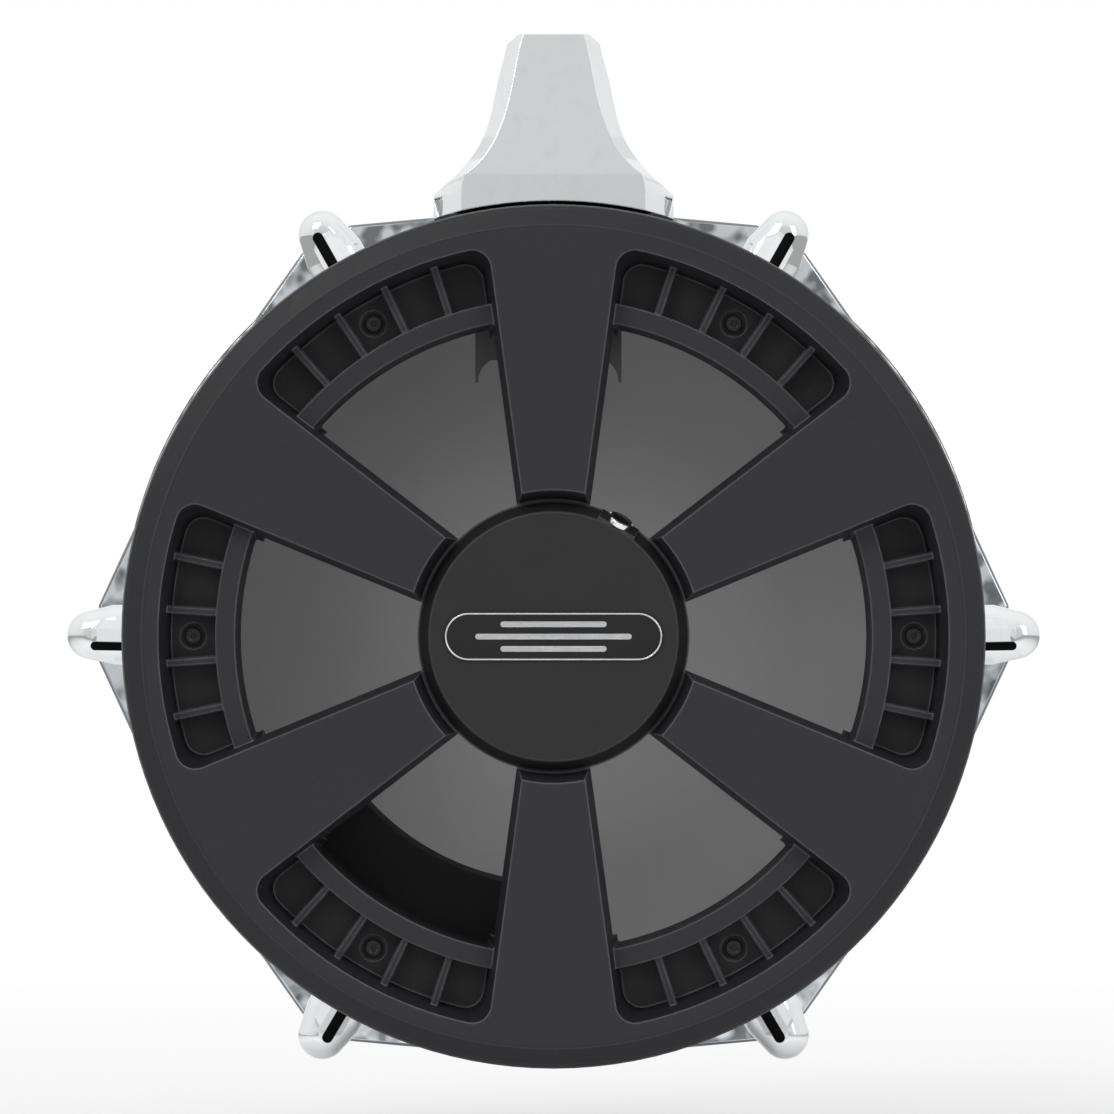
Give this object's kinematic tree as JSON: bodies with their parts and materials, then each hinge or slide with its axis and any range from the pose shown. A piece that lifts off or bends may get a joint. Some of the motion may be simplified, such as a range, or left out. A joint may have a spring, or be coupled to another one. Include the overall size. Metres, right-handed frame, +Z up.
{
  "type": "electronic drum pad",
  "caption": "Round mesh-head electronic drum pad with a six-spoke rear frame, chrome lugs and a clamp bracket for a mounting rod.",
  "frame": {"origin": "on the drum axis, at the plane of the rear frame's flat face", "axes": "+Y along the drum axis from the rear face towards the playing head, +Z up through the mounting bracket, +X right when seen from behind"},
  "size_m": [0.3564, 0.143, 0.3814],
  "materials": {
    "shell_lacquer": "black lacquered wood, satin",
    "frame_plastic": "moulded black ABS with a fine leather grain",
    "cap_plastic": "moulded black ABS, finer grain",
    "badge_black": "gloss black",
    "badge_silver": "bright satin",
    "screw_black": "black oxide steel",
    "zinc_steel": "zinc plated",
    "jack_plastic": "black nylon",
    "jack_chrome": "polished",
    "contact_brass": "plain",
    "board_green": "solder mask green",
    "connector_nylon": "natural nylon",
    "inner_plastic": "moulded black ABS, plain",
    "foam": "dark closed-cell foam",
    "sensor_steel": "rolled",
    "piezo_brass": "plain",
    "piezo_ceramic": "silvered ceramic",
    "cable_jacket": "soft black jacket",
    "cast_chrome": "chromed zinc casting",
    "nut_brass": "plain",
    "hoop_chrome": "chromed steel",
    "gasket_rubber": "black",
    "rim_rubber": "black, slightly dusty",
    "hoop_aluminium": "mill",
    "mesh_fabric": "grey two-ply woven polyester mesh",
    "jaw_zinc": "die cast"
  },
  "bodies": {
    "pad": {"shell": "shell_lacquer", "rear_frame": "frame_plastic", "hub_cap": "cap_plastic", "hub_badge": "badge_black", "badge_inlay": "badge_silver", "hub_cap_screws": "screw_black", "output_jack": "jack_plastic", "jack_nut": "jack_chrome", "jack_contacts": "contact_brass", "trigger_board": "board_green", "board_connectors": "connector_nylon", "board_screws": "zinc_steel", "sensor_tower": "inner_plastic", "tower_screws": "screw_black", "sensor_cushion": "foam", "sensor_plate": "sensor_steel", "centre_piezo_disc": "piezo_brass", "centre_piezo_ceramic": "piezo_ceramic", "foam_cone": "foam", "centre_sensor_cable": "cable_jacket", "rim_sensor_cover": "inner_plastic", "rim_cover_screws": "screw_black", "rim_sensor_tape": "foam", "rim_piezo_disc": "piezo_brass", "rim_piezo_ceramic": "piezo_ceramic", "rim_sensor_cable": "cable_jacket", "lug_gaskets": "gasket_rubber", "lug_nuts": "nut_brass", "lug_screws": "zinc_steel", "frame_anchors": "zinc_steel", "frame_screws": "screw_black", "mesh_head": "mesh_fabric", "bracket": "cast_chrome", "bracket_gasket": "gasket_rubber", "bracket_backing_plate": "zinc_steel", "bracket_screws": "zinc_steel", "rod_pocket": "inner_plastic", "lug_1": "cast_chrome", "lug_2": "cast_chrome", "lug_3": "cast_chrome", "lug_4": "cast_chrome", "lug_5": "cast_chrome", "lug_6": "cast_chrome"},
    "hoop": {"counter_hoop": "hoop_chrome", "rim_rubber": "rim_rubber", "flesh_hoop": "hoop_aluminium", "rod_washers": "zinc_steel"},
    "rod_1": {"tension_rod_1": "hoop_chrome"},
    "rod_2": {"tension_rod_2": "hoop_chrome"},
    "rod_3": {"tension_rod_3": "hoop_chrome"},
    "rod_4": {"tension_rod_4": "hoop_chrome"},
    "rod_5": {"tension_rod_5": "hoop_chrome"},
    "rod_6": {"tension_rod_6": "hoop_chrome"},
    "jaw": {"clamp_jaw": "jaw_zinc"},
    "wing": {"wing_bolt": "cast_chrome"}
  },
  "joints": [
    {"name": "hoop_travel", "type": "slide", "parent": "pad", "child": "hoop", "axis": [0, 1, 0], "range_m": [-0.00106, 0.00317]},
    {"name": "tension_rod_1_turn", "type": "hinge", "parent": "hoop", "child": "rod_1", "pos_m": [0.1694, 0.1, 0], "axis": [0, 1, 0], "range_deg": [-361, 1081]},
    {"name": "tension_rod_2_turn", "type": "hinge", "parent": "hoop", "child": "rod_2", "pos_m": [0.0847, 0.1, 0.1467], "axis": [0, 1, 0], "range_deg": [-361, 1081]},
    {"name": "tension_rod_3_turn", "type": "hinge", "parent": "hoop", "child": "rod_3", "pos_m": [-0.0847, 0.1, 0.1467], "axis": [0, 1, 0], "range_deg": [-361, 1081]},
    {"name": "tension_rod_4_turn", "type": "hinge", "parent": "hoop", "child": "rod_4", "pos_m": [-0.1694, 0.1, 0], "axis": [0, 1, 0], "range_deg": [-361, 1081]},
    {"name": "tension_rod_5_turn", "type": "hinge", "parent": "hoop", "child": "rod_5", "pos_m": [-0.0847, 0.1, -0.1467], "axis": [0, 1, 0], "range_deg": [-361, 1081]},
    {"name": "tension_rod_6_turn", "type": "hinge", "parent": "hoop", "child": "rod_6", "pos_m": [0.0847, 0.1, -0.1467], "axis": [0, 1, 0], "range_deg": [-361, 1081]},
    {"name": "jaw_travel", "type": "slide", "parent": "pad", "child": "jaw", "axis": [0, 1, 0], "range_m": [-0.0015, 0.001]},
    {"name": "wing_bolt_turn", "type": "hinge", "parent": "jaw", "child": "wing", "pos_m": [0, 0.08, 0.193], "axis": [0, 1, 0], "range_deg": [-433, 289]}
  ],
  "couplings": [
    {"joint": "tension_rod_1_turn", "follows": "hoop_travel", "rad_per_m": 5936.9},
    {"joint": "tension_rod_2_turn", "follows": "hoop_travel", "rad_per_m": 5936.9},
    {"joint": "tension_rod_3_turn", "follows": "hoop_travel", "rad_per_m": 5936.9},
    {"joint": "tension_rod_4_turn", "follows": "hoop_travel", "rad_per_m": 5936.9},
    {"joint": "tension_rod_5_turn", "follows": "hoop_travel", "rad_per_m": 5936.9},
    {"joint": "tension_rod_6_turn", "follows": "hoop_travel", "rad_per_m": 5936.9},
    {"joint": "wing_bolt_turn", "follows": "jaw_travel", "rad_per_m": 5026.5}
  ]
}
